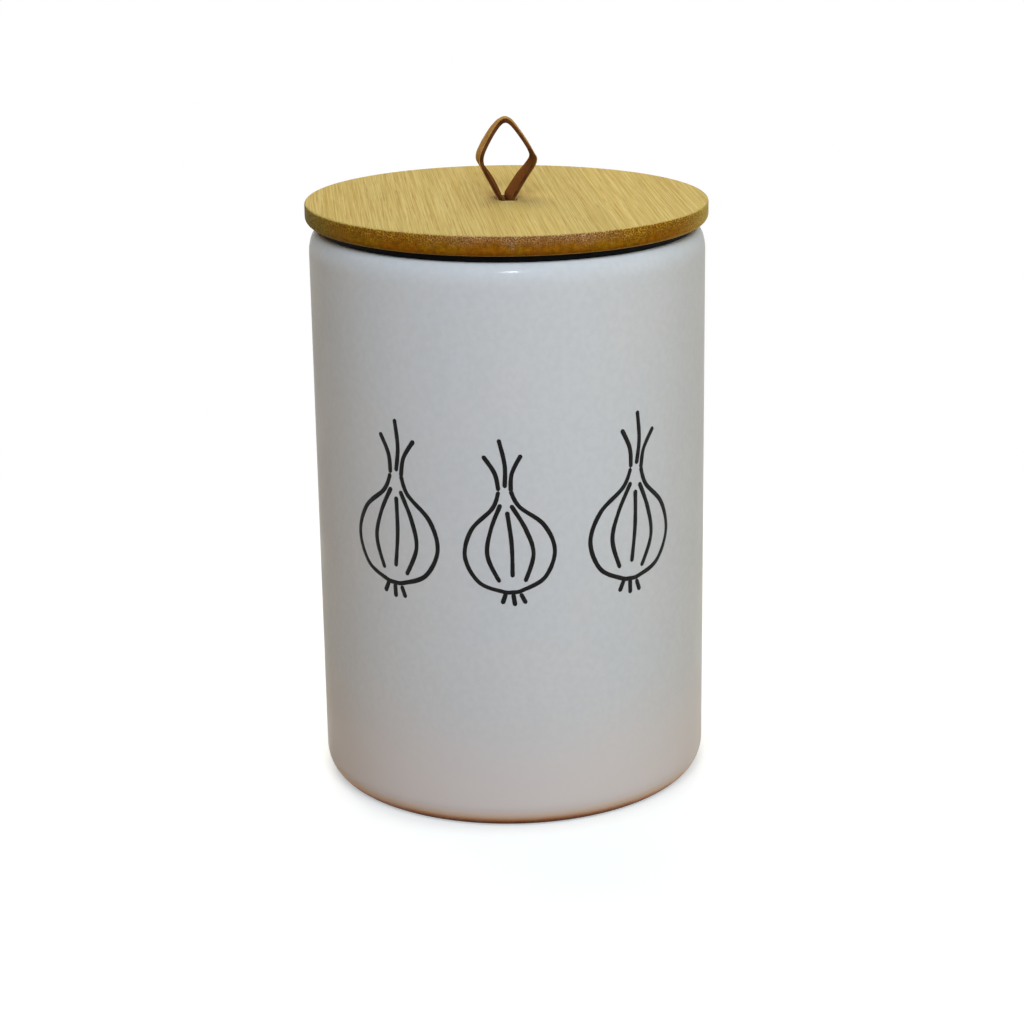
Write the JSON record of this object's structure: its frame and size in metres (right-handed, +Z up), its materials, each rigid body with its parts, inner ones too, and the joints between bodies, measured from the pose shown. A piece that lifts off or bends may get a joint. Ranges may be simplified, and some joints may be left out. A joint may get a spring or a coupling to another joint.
{
  "type": "onion keeper",
  "caption": "Straight glazed ceramic jar for dry onions, with a flat bamboo lid on a black seal and a leather finger loop.",
  "frame": {"origin": "middle of the foot ring, on the surface that the jar stands on", "axes": "+Z up along the jar's axis, front faces -Y, the loop lies in the XZ plane"},
  "size_m": [0.1512, 0.1512, 0.2557],
  "materials": {
    "glaze": "satin white glaze",
    "bamboo": "oiled, fine straight grain",
    "silicone": "matt black",
    "leather": "smooth tan with dark cut edges",
    "steel": "zinc plated"
  },
  "bodies": {
    "jar": {"jar": "glaze"},
    "seal": {"seal_ring": "silicone"},
    "lid": {"lid_disc": "bamboo", "lid_plug": "bamboo", "strap_tails": "leather", "strap_washers": "steel", "strap_screws": "steel"},
    "loop": {"handle_loop": "leather"}
  },
  "joints": [
    {"name": "lid_lift", "type": "slide", "parent": "jar", "child": "seal", "axis": [0, 0, 1], "range_m": [0, 0.18]},
    {"name": "lid_turn", "type": "hinge", "parent": "seal", "child": "lid", "pos_m": [0, 0, 0.2174], "axis": [0, 0, 1], "continuous": true},
    {"name": "loop_tilt", "type": "hinge", "parent": "lid", "child": "loop", "pos_m": [0, 0, 0.2302], "axis": [0, 1, 0], "range_deg": [-50, 50], "stiffness_Nm_per_rad": 0.003}
  ]
}
